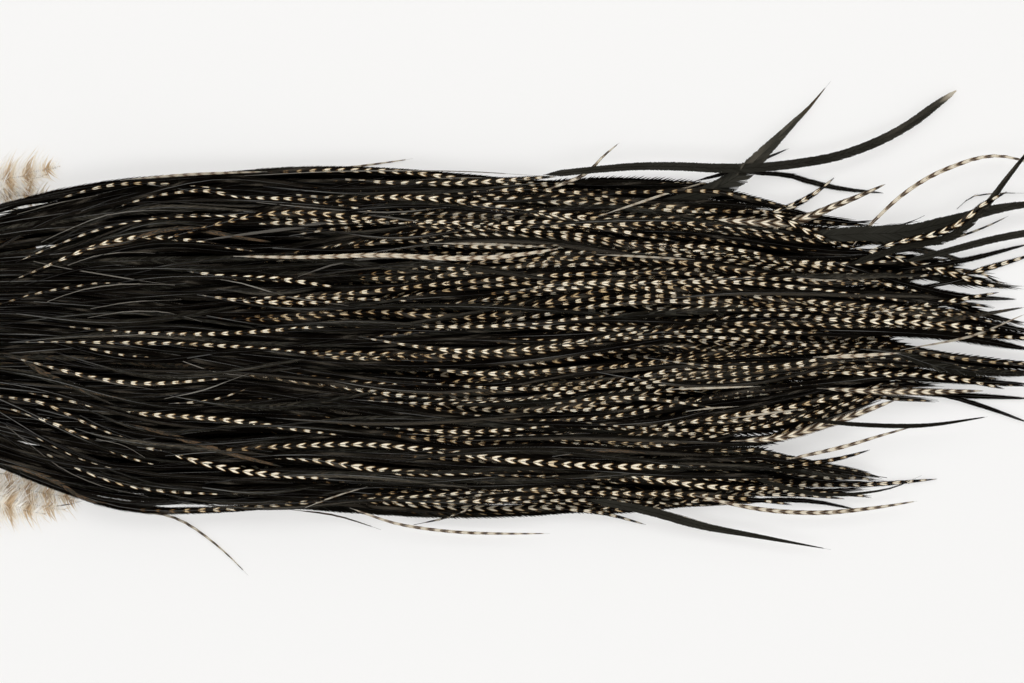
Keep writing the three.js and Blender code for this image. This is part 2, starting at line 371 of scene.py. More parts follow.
def grow(name, feathers, material, **sizes):
    """A piece made of these feathers."""
    piece = new_object(name, line_mesh(name + "_lines", feathers))
    modifier = piece.modifiers.new("feathers", "NODES")
    modifier.node_group = FEATHER_TREE
    sizes = {"Strips": len(feathers), "Material": material, "Shaft material": QUILL, **sizes}
    for socket in FEATHER_TREE.interface.items_tree:
        if socket.in_out == "INPUT" and socket.name in sizes:
            modifier[socket.identifier] = sizes[socket.name]
    depsgraph = bpy.context.evaluated_depsgraph_get()
    evaluated = piece.evaluated_get(depsgraph)
    grown = bpy.data.meshes.new_from_object(evaluated, preserve_all_data_layers=True, depsgraph=depsgraph)
    piece.modifiers.remove(modifier)
    lines, piece.data = piece.data, grown
    bpy.data.meshes.remove(lines)
    grown.name = name
    keep_shown(grown)
    lay_down(grown)
    return piece


# The solids of the frame, read as the ways that feathers follow


def corners_of(node):
    """The corners of a solid of the frame, each once."""
    return np.unique(np.round(points_of(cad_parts[node].data) / MM, 2), axis=0)


def lock_sections(node):
    """Rows of x, the two sides' y, and the lowest and highest z, one for each section of a lock."""
    corners = corners_of(node)
    corners = corners[corners[:, 0].argsort()]
    rings = np.split(corners, np.flatnonzero(np.diff(corners[:, 0]) > 1.0) + 1)
    return np.array([
        (r[:, 0].mean(), r[:, 1].min(), r[:, 1].max(), r[:, 2].min(), r[:, 2].max()) for r in rings])


def single_feather_line(node):
    """The centre line of a single feather's solid, and half its greatest width. The two corners of each
    of its sections that lie above each other mark the middle of the section."""
    corners = corners_of(node)
    places, which = np.unique(corners[:, :2], axis=0, return_inverse=True)
    which = which.ravel()
    doubled = np.bincount(which) > 1
    middles = np.array([[*places[i], corners[which == i, 2].max()] for i in np.flatnonzero(doubled)])
    middles = middles[np.argsort(middles[:, 0])]
    half = [np.linalg.norm(places[~doubled] - middle[:2], axis=1).min() for middle in middles]
    first = middles[0] - 0.4 * (middles[1] - middles[0])
    last = middles[-1] + 0.6 * (middles[-1] - middles[-2])
    return np.vstack([first, middles, last]), max(half)


def distances(points):
    """How far along a line each of its points lies."""
    return np.concatenate([[0], np.cumsum(np.linalg.norm(np.diff(points, axis=0), axis=1))])


def smooth_through(xs, values, at):
    """A smooth curve through values at xs, read at the given places."""
    values = np.asarray(values, float)
    slopes = np.gradient(values, xs, axis=0)
    at = np.clip(at, xs[0], xs[-1])
    i = np.clip(np.searchsorted(xs, at) - 1, 0, len(xs) - 2)
    step = xs[i + 1] - xs[i]
    t = (at - xs[i]) / step
    if values.ndim > 1:
        t, step = t[:, None], step[:, None]
    return (
        (2 * t**3 - 3 * t**2 + 1) * values[i] + (t**3 - 2 * t**2 + t) * step * slopes[i]
        + (3 * t**2 - 2 * t**3) * values[i + 1] + (t**3 - t**2) * step * slopes[i + 1]
    )


def drawn_through(route, step, fewest):
    """Points about a step apart on a smooth curve through a route, and how far along it each lies."""
    along = distances(route)
    at = np.linspace(0, along[-1], max(fewest, int(along[-1] / step)))
    return smooth_through(along, route, at), at


def evened(values, reach):
    """Each value's mean with its neighbours up to `reach` places away."""
    count = 2 * reach + 1
    return np.convolve(np.pad(values, reach, mode="edge"), np.ones(count) / count, mode="valid")


def ease(low, high, x):
    """0 before low, 1 after high, and smooth between them."""
    t = np.clip((x - low) / (high - low), 0, 1)
    return t * t * (3 - 2 * t)


def wave(rng, x, shortest, longest):
    """A slow sine along x with a length and a start of its own."""
    return np.sin(2 * math.pi * (x / rng.uniform(shortest, longest) + rng.uniform()))


LOCKS = {name: lock_sections(name) for name in sorted(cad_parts) if "_lock_" in name}
BESIDE_LOCKS = 4.0  # how far beside the outer locks' middles the pile still reaches
BEYOND_PILE = 0.6  # the height of feathers that lie beside the pile


def pile_top(x, y):
    """The height of the top of the pile of locks at a place, for feathers that lie on it."""
    for course in ("top_lock", "middle_lock", "under_lock"):
        rows = [r for name, r in LOCKS.items() if name.startswith(course) and r[0, 0] < x < r[-1, 0]]
        if not rows:
            continue
        places = sorted(
            (np.interp(x, r[:, 0], (r[:, 1] + r[:, 2]) / 2), np.interp(x, r[:, 0], r[:, 4])) for r in rows)
        ys, tops = zip(*places)
        if ys[0] - BESIDE_LOCKS < y < ys[-1] + BESIDE_LOCKS:
            return float(np.interp(y, ys, tops))
    return BEYOND_PILE


# The feathers

LONG_STEP = 6.0  # between the points of the line of a long feather
BAR_PITCH = 3.8

# Gaps between the feathers' tips: at each pixel across and down the view, half the gap's height in pixels
TIP_GAPS = [
    [(690, 175, 0), (735, 184, 4), (770, 188, 9), (815, 196, 14), (850, 202, 16), (900, 208, 12),
     (930, 214, 0)],
    [(915, 250, 0), (950, 243, 5), (985, 234, 9), (1040, 222, 12)],
    [(950, 258, 0), (1000, 251, 2.5), (1040, 246, 3)],
    [(950, 300, 0), (975, 300, 3), (1000, 301, 7), (1040, 299, 10)],
    [(985, 279, 0), (1005, 278, 5), (1040, 280, 8)],
    [(868, 346, 0), (890, 346, 2.5), (920, 350, 6), (950, 354, 8), (1000, 359, 9), (1040, 361, 9)],
    [(762, 450, 0), (790, 447, 7), (820, 443, 17), (856, 440, 26), (880, 439, 34), (1040, 445, 36)],
]
ROOM_BY_GAP = 1.3  # that a feather's line keeps from a gap for its vane


def turned_up(points, roll):
    """The direction that a feather's upper side faces at each point, rolled about its shaft."""
    ahead = np.gradient(points, axis=0)
    ahead /= np.linalg.norm(ahead, axis=1)[:, None]
    across = np.cross([0, 0, 1.0], ahead)
    across /= np.linalg.norm(across, axis=1)[:, None]
    roll = np.broadcast_to(roll, len(points))[:, None]
    return np.cross(ahead, across) * np.cos(roll) + across * np.sin(roll)


def parted(points):
    """The line of a feather, moved aside where it would lie in a gap between the tips."""
    x, y = points[:, 0], points[:, 1].copy()
    for gap in TIP_GAPS:
        rows = np.array([(*at_pixel(across, down), half * PIXEL) for across, down, half in gap])
        half = np.interp(x, rows[:, 0], rows[:, 2], left=0)
        if not half.any():
            continue
        middle = np.interp(x, rows[:, 0], rows[:, 1])
        start = np.flatnonzero(half)[0]
        side = 1 if y[start] > middle[start] else -1
        kept = half + ROOM_BY_GAP * np.clip(half, 0, 1)
        beside = np.hypot(np.maximum(side * (y - middle), 0), kept)
        y = np.where(half > 0, middle + side * beside, y)
    return np.column_stack([x, y, points[:, 2]])


LOWEST_SHAFT = 0.22  # the least height of a shaft where it has no barbs
DROOPING = math.radians(10)  # how far a vane's edge hangs below its shaft, for the room that it needs
FULL_WIDTH_FROM = 0.4  # the share of a feather's length that lies before its widest part
SLIM_TIP = 0.6  # how much of a shaft's thickness is lost at its tip
BARE_TO_VANED = 3.0  # the stretch in which the vane widens after a bare quill
BROWN, PALE = 0.9, 0.8  # the tone of a brown tip, and how pale a pale tip is


def feather(points, widest, roll=0.0, barred=0.0, bars_from=-1e3, growing=40.0, tone=0.0, pale=0.0,
            taper=22.0, point=0.6, shaft=0.2, spacing=0.6, pitch=BAR_PITCH, phase=0.0, slim_root=0.35,
            bare=0.0, brown_tip=0.0, pale_tip=0.0):
    """What grow() needs to know of one feather. Its vane reaches as far as `widest` to either side of the
    shaft. It is slim at the quill, has no barbs over the first `bare` millimetres and is pointed over the
    last `taper` millimetres, bluntly if `point` is small. Its bars grow strong over `growing` millimetres
    from the place `bars_from`, and its tip may be brown or pale over so many millimetres."""
    along = distances(points)
    length = along[-1]
    share = along / length
    grown = slim_root + (1 - slim_root) * ease(0.02, FULL_WIDTH_FROM, share)
    left = np.clip((length - along) / taper, 0, 1) ** point
    vane = widest * grown * left * ease(bare, bare + BARE_TO_VANED, along)
    if brown_tip:
        tone = tone + (BROWN - tone) * ease(length - brown_tip, length, along)
    if pale_tip:
        pale = pale + (PALE - pale) * ease(length - pale_tip, length, along)
    points = points.copy()
    points[:, 2] = np.maximum(points[:, 2], LOWEST_SHAFT + vane * np.sin(np.abs(roll) + DROOPING))
    x = points[:, 0]
    return {
        "points": points, "up": turned_up(points, roll), "vane": vane, "spacing": spacing,
        "shaft": shaft * (1 - SLIM_TIP * share), "bars": x / pitch + phase, "pitch": pitch,
        "strength": barred * ease(bars_from, bars_from + growing, x), "tone": tone, "pale": pale,
    }


# Each course of locks: how many feathers a lock has, how far before the lock's tip its feathers may end,
# how long their bare quills and pointed ends are, and for barred and black feathers how wide the vane is
# to one side, how far its barbs are apart, how thick the shaft is and how far it may be rolled, in degrees
COURSE_LOOKS = {
    "top_lock": {
        "feathers": 9, "shorter": 62, "bare": 0, "slim_root": 0.35, "taper": (14, 34), "seed": 3000,
        "barred": {"widest": (1.05, 1.55), "spacing": 0.72, "shaft": 0.13, "roll": 21},
        "black": {"widest": (0.8, 1.35), "spacing": 1.5, "shaft": 0.2, "roll": 13}},
    "middle_lock": {
        "feathers": 7, "shorter": 40, "bare": 35, "slim_root": 0.8, "taper": (30, 55), "seed": 2000,
        "barred": {"widest": (1.25, 1.9), "spacing": 1.08, "shaft": 0.13, "roll": 21},
        "black": {"widest": (1.3, 2.1), "spacing": 1.75, "shaft": 0.2, "roll": 13}},
    "under_lock": {
        "feathers": 6, "shorter": 36, "bare": 42, "slim_root": 0.9, "taper": (40, 70), "seed": 1000,
        "barred": {"widest": (1.9, 2.7), "spacing": 1.55, "shaft": 0.13, "roll": 21},
        "black": {"widest": (2.1, 3.1), "spacing": 2.0, "shaft": 0.2, "roll": 13}},
}
# The share of barred feathers in each top lock, from the lower edge of the view to the upper one
TOP_BARRED = (0.5, 0.75, 0.75, 0.8, 0.75, 0.4, 0.75, 0.5, 0.8, 0.75, 0.85, 0.65, 0.8, 0.7, 0.8, 0.6, 0.3)
HIDDEN_BARRED = {"middle_lock": 0.75, "under_lock": 0.4}
OUTER_SPACING = 0.6  # of the barbs in the outer locks of a hidden course, over the other locks' spacing
FANNED = 90.0  # the last stretch of a lock, over which its feathers keep apart though the lock narrows
KEPT_APART = 0.55  # how much: at 0 they narrow with the lock, and at 1 they stay as wide as it ever is
# How the feathers of a lock differ, in half widths of the lock where they lie beside its middle
STRAIGHTENED = 0.75  # the most that one cuts across the lock's bends, where 1 is all the way
DRIFT = 1.1  # from its place at the root to that at the tip
SWAY = (0.1, 0.55)  # to both sides on its way
SWAY_LENGTH = (70, 150)
WANDER = 2.1  # the farthest from the middle
TWIST, TWIST_LENGTH = 20, (90, 190)  # degrees to both sides on its way
BARS_BEGIN = {"usual": 225, "spread": 90, "between": (40, 430)}  # in pixels across the view
BARS_GROW = (25, 70)
TONES = (0.0, 0.03, 0.22, 0.46)  # black, soft black, olive and brown
TONE_SHARES = (0.62, 0.25, 0.1, 0.03)


def lock_feathers(node, looks, barred_share, index, outer_side):
    """The feathers of one lock, which wander inside it and over its edges, but not over the pile's edge."""
    rng = np.random.default_rng(looks["seed"] + index)
    rows = LOCKS[node]
    xs = rows[:, 0]
    widest_lane = (rows[:, 2] - rows[:, 1]).max() / 2
    count = looks["feathers"]
    shown_edge = outer_side and not node.startswith("top_lock")
    levels = (rng.permutation(count) + 0.5) / count
    shorter = looks["shorter"] * rng.uniform(0, 1, count) ** 1.6  # most are nearly as long as the lock
    shorter[rng.integers(count)] = 0
    phase, pitch = rng.uniform(0, 1), BAR_PITCH * rng.uniform(0.95, 1.06)
    feathers = []
    for k in range(count):
        # Its way, with points closer together towards the tip, which cuts across the lock's bends
        first, last = xs[0] + rng.uniform(0, 5), xs[-1] - shorter[k]
        x = last - (last - first) * np.linspace(1, 0, int((last - first) / LONG_STEP)) ** 1.15
        lane = smooth_through(xs, rows[:, 1:], x)
        middle, half = (lane[:, 0] + lane[:, 1]) / 2, (lane[:, 1] - lane[:, 0]) / 2
        straightened = np.polyval(np.polyfit(x, middle, 4), x)
        middle = middle + rng.uniform(0, STRAIGHTENED) * (straightened - middle)
        half = half + ease(xs[-1] - FANNED, xs[-1], x) * KEPT_APART * (widest_lane - half)

        # Its place beside the lock's middle
        at_root = 2 * (k + rng.uniform(0.2, 0.8)) / count - 1
        drift = rng.normal(0, DRIFT)
        sway = rng.uniform(*SWAY) * wave(rng, x, *SWAY_LENGTH)
        share = (x - first) / (last - first)
        place = at_root + drift * ease(0, 1, share) + sway * ease(0, 0.25, share)

        # Its vane, which stays inside the pile's edge, and its height in the lock
        is_barred = rng.uniform() < barred_share
        kind = looks["barred" if is_barred else "black"]
        widest = rng.uniform(*kind["widest"])
        kept_in = np.maximum(1 - 0.85 * widest / half, 0.1)
        lowest, highest = (-kept_in if outer_side < 0 else -WANDER), (kept_in if outer_side > 0 else WANDER)
        y = middle + np.clip(place, lowest, highest) * half
        z = lane[:, 2] + (0.2 + 0.75 * levels[k]) * (lane[:, 3] - lane[:, 2])
        roll = rng.normal(0, kind["roll"]) + TWIST * wave(rng, x, *TWIST_LENGTH)
        feathers.append(feather(
            parted(np.column_stack([x, y, z])), widest, roll=np.radians(roll),
            spacing=kind["spacing"] * (OUTER_SPACING if shown_edge else 1),
            bare=looks["bare"], slim_root=looks["slim_root"],
            barred=rng.uniform(0.75, 1.0) if is_barred else 0.0,
            bars_from=LEFT_EDGE + PIXEL * np.clip(
                rng.normal(BARS_BEGIN["usual"], BARS_BEGIN["spread"]), *BARS_BEGIN["between"]),
            growing=rng.uniform(*BARS_GROW), tone=rng.choice(TONES, p=TONE_SHARES),
            taper=rng.uniform(*looks["taper"]), shaft=kind["shaft"],
            pitch=pitch * rng.uniform(0.98, 1.02), phase=phase + rng.normal(0, 0.22),
        ))
    return feathers


def lock_pieces():
    """One piece for each lock."""
    for name in LOCKS:
        course, number = name.rsplit("_", 1)
        index = int(number)
        count = sum(other.startswith(course) for other in LOCKS)
        outer_side = {1: -1, count: 1}.get(index, 0)
        share = TOP_BARRED[index - 1] if course == "top_lock" else HIDDEN_BARRED[course]
        feathers = lock_feathers(name, COURSE_LOOKS[course], share, index, outer_side)
        ready(grow(name + "_feathers", feathers, FEATHER, Seed=index), "feather", name)


# Each single feather: "slimmer" is half its vane's width over half its solid's
SINGLE_LOOKS = {
    "long_black_feather": {"tone": 0.36, "taper": 14, "point": 0.5, "pale_tip": 7, "slimmer": 0.8},
    "broad_black_feather": {"tone": 0.44, "taper": 50, "point": 1.25, "slim_root": 0.2, "brown_tip": 20},
    "sweeping_black_feather": {"tone": 0.38, "taper": 70, "point": 0.55, "slim_root": 0.5},
    "right_black_feather": {"tone": 0.36, "taper": 12, "slimmer": 0.75},
    "raised_barred_feather": {"tone": 0.3, "barred": 0.0, "taper": 40, "slimmer": 0.65},
    "arched_barred_feather": {"taper": 30, "pitch": 4.0, "pale": 0.66, "slim_root": 0.6, "slimmer": 0.62},
    "lower_curved_feather": {"barred": 0.0, "tone": 0.3, "slimmer": 0.5, "taper": 45, "point": 0.9},
    "lower_black_feather": {"tone": 0.36, "taper": 55, "point": 0.9, "slimmer": 0.8},
    "lower_barred_feather": {"pale": 0.5, "slimmer": 0.6},
    "fine_lower_feather": {"pale": 0.6, "slimmer": 0.7},
    "thin_black_feather": {"tone": 0.25, "slimmer": 0.7},
    "trailing_barred_feather": {"pale": 0.6, "slimmer": 0.55},
    "hanging_wisp": {"pale": 0.45, "slimmer": 0.65},
    "upper_wisp": {"pale": 0.75, "slimmer": 0.7},
    "short_barred_feather": {"taper": 30, "pale": 0.3, "slimmer": 0.85},
    "short_upper_feather": {"taper": 16, "pale": 0.4, "slimmer": 0.7},
}
SINGLE_SIZES = {
    "Overlap": 2.4, "Cover": 2.2, "Blunt": 0.55, "Barb segments": 2, "Curl": 0.1, "Unevenness": 0.08,
    "Droop": math.radians(3), "Streaks": 0.2}
# Which come out from under other feathers, and after so many millimetres
UNDER_ANOTHER = {"arched_barred_feather": 11.5, "broad_black_feather": 27, "sweeping_black_feather": 15}
UNDER_DEPTH = 3.4


def single_pieces():
    """One piece for each single feather that has come out of the locks."""
    names = [name for name in sorted(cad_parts) if name.endswith(("_feather", "_wisp"))]
    for seed, name in enumerate(names):
        line, half = single_feather_line(name)
        points, at = drawn_through(line, step=3, fewest=12)
        if name in UNDER_ANOTHER:
            covered = UNDER_ANOTHER[name]
            points[:, 2] -= UNDER_DEPTH * (1 - ease(covered - 4, covered + 2, at))
        looks = {
            "barred": 0.0 if "black" in name else 1.0, "taper": 24, "slim_root": 0.7, **SINGLE_LOOKS[name]}
        widest = half * looks.pop("slimmer", 1.0)
        single = feather(points, widest, shaft=0.08, spacing=0.38, **looks)
        piece = grow(
            name + "_vanes", [single], FEATHER,
            **{**SINGLE_SIZES, "Seed": 40 + seed, "Shaft material": QUILL if looks["barred"] else FEATHER})
        ready(piece, "feather", name)


# Feathers that lie loose over the pile. Each row gives half the vane's width and other looks, in the order
# of the names in the first row, and then the pixels of the view that the feather passes
LOOSE_FEATHERS = {
    "pale_feathers": [
        ("widest", "pale", "barred"),
        (0.75, 0.85, 0.7, (236, 257), (300, 258), (390, 256), (450, 259), (505, 257), (560, 249)),
        (0.8, 0.85, 0.7, (812, 357), (850, 356), (900, 353)),
        (1.2, 0.3, 1.0, (816, 388), (866, 391), (920, 392), (985, 391)),
        (0.45, 0.65, 0.7, (122, 181), (190, 175), (268, 172)),
        (0.4, 0.7, 0.4, (597, 217), (630, 206), (662, 195), (712, 180)),
        (0.35, 0.6, 0.6, (306, 507), (335, 496), (368, 486)),
        (0.4, 0.6, 0.6, (900, 350), (975, 335), (1032, 312)),
        (1.4, 0.4, 1.0, (730, 441), (782, 437), (827, 424), (895, 400)),
        (1.3, 0.3, 1.0, (640, 505), (665, 514), (690, 522), (735, 533)),
        # The last six are pale strands that partly show pale feathers and partly are painted highlight,
        # where glossy feathers catch the light.
        (0.4, 0.75, 0.3, (665, 389), (705, 388), (760, 386)),
        (0.4, 0.6, 0.3, (685, 411), (710, 408), (738, 406)),
        (0.45, 0.7, 0.3, (730, 418), (760, 414), (800, 409)),
        (0.4, 0.6, 0.5, (430, 244), (490, 245), (552, 248)),
        (0.4, 0.6, 0.5, (596, 255), (640, 257), (694, 260)),
        (0.45, 0.65, 0.5, (796, 277), (818, 280), (842, 280)),
    ],
    "brown_feathers": [
        ("widest", "tone"),
        (0.75, 0.72, (80, 250), (130, 243), (155, 234), (185, 229), (210, 232), (240, 238), (275, 243)),
        (0.9, 0.58, (-5, 352), (20, 356), (45, 371), (78, 386), (130, 399)),
        (0.8, 0.8, (128, 422), (165, 432), (200, 443), (240, 455), (284, 466)),
        (0.7, 0.42, (85, 402), (120, 408), (160, 411)),
        (0.8, 0.66, (-5, 461), (30, 470), (60, 482), (88, 499), (112, 503)),
        (0.7, 0.62, (552, 456), (600, 450), (650, 453)),
        (0.35, 0.7, (290, 509), (330, 515), (380, 531)),
        (0.9, 0.45, (900, 325), (960, 318), (1028, 307)),
    ],
    "barred_strings": [
        ("widest", "barred", "roll"),
        (1.1, 0.95, 0.75, (20, 263), (60, 246), (100, 231), (140, 221), (200, 216), (290, 219),
         (400, 224)),
        (0.9, 0.95, -0.6, (52, 203), (80, 194), (112, 186), (142, 184), (180, 186), (230, 190)),
        (1.0, 0.95, 0.5, (118, 209), (150, 198), (180, 193), (202, 191), (240, 197), (300, 200),
         (380, 213)),
        (0.75, 0.85, -0.7, (-12, 309), (20, 300), (50, 292), (75, 288), (100, 284), (130, 284)),
        (1.3, 1.0, 0.0, (186, 271), (225, 277), (284, 280), (340, 288)),
        (1.1, 0.95, 0.0, (200, 295), (235, 300), (284, 303), (350, 302)),
        (0.9, 0.9, 0.6, (82, 346), (108, 351), (128, 355), (155, 357)),
        (1.0, 0.95, -0.6, (-10, 394), (20, 398), (45, 402), (70, 413), (95, 425), (112, 432), (130, 437)),
        (0.8, 0.95, 0.6, (28, 431), (60, 446), (82, 457), (100, 463), (122, 469)),
        (1.4, 1.0, 0.0, (140, 446), (165, 450), (200, 461), (230, 468), (284, 475), (330, 478)),
        (0.8, 0.95, -0.6, (172, 403), (205, 401), (225, 397), (250, 388)),
        (0.3, 1.0, 0.0, (-10, 498), (20, 505), (42, 507), (62, 506), (82, 501)),
        (0.3, 0.9, 0.0, (960, 208), (975, 196), (992, 193), (1030, 192)),
        (1.3, 1.0, 0.0, (862, 252), (900, 242), (935, 234), (960, 222), (978, 207), (1006, 192)),
        (1.3, 1.0, 0.0, (752, 208), (785, 220), (805, 231), (830, 242), (856, 249)),
        (0.5, 1.0, 0.0, (945, 241), (965, 235), (1000, 221), (1012, 215)),
        (1.5, 1.0, 0.0, (850, 247), (900, 258), (950, 272), (985, 283), (1006, 288)),
        (1.3, 1.0, 0.0, (960, 276), (1000, 265), (1036, 254)),
        (1.1, 1.0, 0.0, (870, 313), (940, 303), (1002, 292)),
        (1.5, 1.0, 0.0, (800, 318), (870, 321), (940, 324), (1000, 331)),
        (1.3, 1.0, 0.0, (816, 372), (900, 375), (960, 379), (1006, 389)),
        (1.0, 0.8, 0.0, (760, 470), (850, 456), (870, 450)),
        (0.9, 1.0, 0.0, (760, 486), (820, 486), (880, 485), (940, 480)),
        (0.9, 1.0, 0.0, (750, 496), (790, 495), (847, 500)),
        (0.8, 1.0, 0.0, (548, 508), (600, 513), (647, 526)),
        (0.4, 1.0, 0.0, (413, 526), (440, 520), (490, 500)),
        (1.3, 1.0, 0.0, (755, 217), (790, 207), (820, 190), (836, 177)),
    ],
    # Thin strands painted pale grey: a painted highlight along the black feathers at the left. They take
    # the shafts' material.
    "grey_strands": [
        ("widest", "pale"),
        (0.15, 0.33, (45, 243), (75, 229), (110, 216), (140, 212), (195, 212)),
        (0.18, 0.4, (72, 266), (95, 258), (130, 253), (158, 254)),
        (0.18, 0.36, (38, 262), (60, 267), (100, 274), (150, 282), (178, 286)),
        (0.18, 0.43, (52, 302), (80, 292), (112, 286), (178, 285)),
        (0.21, 0.33, (168, 398), (205, 390), (238, 378), (252, 373)),
        (0.21, 0.46, (186, 361), (215, 371), (252, 376)),
        (0.18, 0.28, (70, 368), (100, 379), (158, 389)),
        (0.15, 0.38, (100, 438), (130, 446), (148, 457)),
        (0.15, 0.23, (10, 425), (35, 445), (62, 466), (100, 484), (150, 496)),
        (0.3, 0.36, (100, 476), (128, 483), (150, 490)),
        (0.18, 0.43, (118, 336), (150, 334), (178, 331)),
        (0.18, 0.32, (95, 309), (130, 303), (185, 300)),
        (0.18, 0.32, (20, 215), (60, 204), (100, 196)),
        (0.21, 0.28, (258, 203), (330, 210), (390, 213), (450, 208)),
        (0.54, 0.18, (200, 242), (240, 236), (300, 228), (365, 217), (420, 222)),
        (0.42, 0.18, (300, 277), (340, 264), (400, 258), (470, 268)),
        (0.18, 0.38, (245, 176), (330, 172), (400, 171), (470, 172), (540, 176)),
        (0.15, 0.33, (400, 181), (470, 178), (530, 180)),
        (0.18, 0.38, (196, 276), (240, 283), (290, 297), (350, 306)),
        (0.18, 0.36, (92, 318), (130, 312), (172, 313), (205, 322)),
    ],
    "black_strings": [
        ("widest", "tone"),
        (1.5, 0.32, (815, 232), (865, 238), (910, 247), (968, 260)),
        (1.0, 0.15, (730, 169), (760, 172), (790, 174), (810, 180), (840, 187), (886, 192)),
        (0.8, 0.1, (690, 182), (740, 168), (765, 158), (791, 147)),
        (1.0, 0.1, (900, 269), (955, 262), (1034, 243)),
        (1.8, 0.0, (820, 330), (890, 332), (960, 337), (1034, 350)),
        (1.8, 0.25, (860, 349), (895, 353), (940, 367), (1000, 373), (1036, 375)),
        (1.1, 0.0, (880, 391), (950, 395), (1034, 399)),
        (0.9, 0.0, (930, 394), (960, 399), (990, 408), (1034, 424)),
        (0.9, 0.0, (720, 501), (820, 503), (860, 511)),
        (1.2, 0.0, (835, 262), (900, 282), (965, 296), (1020, 299)),
        (1.2, 0.0, (850, 372), (930, 379), (1030, 384)),
    ],
}
LOOSE_LIFTS = {"pale_feathers": 0.9}  # how far they lie over the pile, where that isn't the usual lift
USUAL_LIFT = 0.35
# The ones that lie on a single feather, by the pixel that they start at
ON_SINGLE_FEATHER = {(862, 252): "raised_barred_feather", (752, 208): "sweeping_black_feather"}
LIFT_ON_FEATHER = 0.5


def on_pile(flat, lift):
    """The points of a route, laid on the pile."""
    heights = np.array([pile_top(x, y) for x, y in flat])
    return np.column_stack([flat, evened(heights, 2) + lift])


def on_feather(flat, node):
    """The points of a route, laid on a single feather."""
    line, _ = single_feather_line(node)
    return np.column_stack([flat, np.interp(flat[:, 0], line[:, 0], line[:, 2]) + LIFT_ON_FEATHER])


def loose_pieces():
    """Feathers on top of the pile, at places of their own."""
    for name, (columns, *rows) in LOOSE_FEATHERS.items():
        feathers = []
        for row in rows:
            looks, pixels = dict(zip(columns, row)), row[len(columns):]
            route = np.array([at_pixel(*pixel) for pixel in pixels])
            flat, _ = drawn_through(route, step=4, fewest=8)
            if pixels[0] in ON_SINGLE_FEATHER:
                points = on_feather(flat, ON_SINGLE_FEATHER[pixels[0]])
            else:
                points = on_pile(flat, LOOSE_LIFTS.get(name, USUAL_LIFT))
            feathers.append(feather(points, taper=18, slim_root=0.5, shaft=0.11, spacing=0.5, **looks))
        material = QUILL if name == "grey_strands" else FEATHER
        ready(grow(name, feathers, material, Seed=len(name)), "feather")


# Slim feathers that cross the others at a small angle: how many, where they start across the view, how
# long they are and how wide to one side
CROSSING_FEATHERS = {
    "crossing_black_feathers": {
        "count": 90, "across": (-40, 330), "length": (32, 95), "widest": (0.45, 1.15), "barred": 0.0,
        "tones": (0.0, 0.0, 0.04, 0.16, 0.28), "seed": 61},
    "crossing_barred_feathers": {
        "count": 12, "across": (0, 330), "length": (45, 100), "widest": (0.8, 1.2), "barred": 1.0,
        "tones": (0.0, 0.1), "seed": 62},
    "crossing_far_feathers": {
        "count": 40, "across": (330, 720), "length": (45, 100), "widest": (0.7, 1.3), "barred": 0.55,
        "tones": (0.0, 0.05, 0.16, 0.28), "seed": 63},
}
# The pile's upper and lower edge down the view, at places across it, and the middle that it fans out from
PILE_EDGES = np.array([
    (-60, 222, 448), (0, 200, 462), (100, 186, 488), (200, 178, 508), (300, 176, 514), (600, 175, 512),
    (720, 188, 508), (800, 200, 500), (880, 222, 484), (960, 240, 420), (1040, 246, 396),
])
PILE_MIDDLE = 325
FANNED_BY = 23  # degrees, at FAN_REACH pixels from the middle
FAN_REACH = 85
FAN_ENDS = (50, 190)  # pixels across the view, between which the feathers turn straight
CROSSING_STEP = 14.0  # pixels
LEAVING = (2, 11)  # degrees off the flow


def pile_edges(across):
    """How far down the view the pile's upper and lower edges lie, at a place across it."""
    return (np.interp(across, PILE_EDGES[:, 0], PILE_EDGES[:, edge]) for edge in (1, 2))


def on_the_pile(route):
    """Whether a route in pixels stays on the pile."""
    upper, lower = pile_edges(route[:, 0])
    return bool(np.all((route[:, 1] > upper) & (route[:, 1] < lower)))


def combed(across, down):
    """The direction, upward in the view, that the feathers take at a pixel."""
    fanned = np.clip((PILE_MIDDLE - down) / FAN_REACH, -1.2, 1.0) * (1 - ease(*FAN_ENDS, across))
    return math.radians(FANNED_BY * float(fanned))


def crossing_route(rng, given, share):
    """A route in pixels that leaves the flow of the feathers and comes back to it."""
    first, last = given["across"]
    across = first + (last - first) * rng.uniform() ** 1.4
    upper, lower = pile_edges(across)
    down = lower + (upper - lower) * share
    count = int(rng.uniform(*given["length"]) / PIXEL / CROSSING_STEP)
    leaving = math.radians(rng.uniform(*LEAVING)) * rng.choice((-1, 1))
    route = []
    for step in range(count):
        route.append((across, down))
        heading = combed(across, down) + leaving * math.cos(math.pi * 1.3 * step / count)
        across += CROSSING_STEP * math.cos(heading)
        down -= CROSSING_STEP * math.sin(heading)
    return np.array(route)


def crossing_pieces():
    """Slim feathers over the pile that leave its flow and come back to it."""
    for name, given in CROSSING_FEATHERS.items():
        rng = np.random.default_rng(given["seed"])
        feathers = []
        while len(feathers) < given["count"]:
            route = crossing_route(rng, given, (len(feathers) + rng.uniform()) / given["count"])
            if not on_the_pile(route):
                continue
            barred = rng.uniform() < given["barred"]
            flat = np.array([at_pixel(*pixel) for pixel in route])
            feathers.append(feather(
                parted(on_pile(flat, rng.uniform(0.1, 0.5))), rng.uniform(*given["widest"]),
                roll=math.radians(rng.normal(0, 30 if barred else 14)), barred=0.95 if barred else 0.0,
                tone=rng.choice(given["tones"]), taper=rng.uniform(12, 30), slim_root=0.3,
                shaft=0.1 if barred else rng.uniform(0.1, 0.2), spacing=0.6 if barred else 0.95,
                phase=rng.uniform(),
            ))
        ready(grow(name, feathers, FEATHER, Seed=given["seed"]), "feather")


# The down and the skin

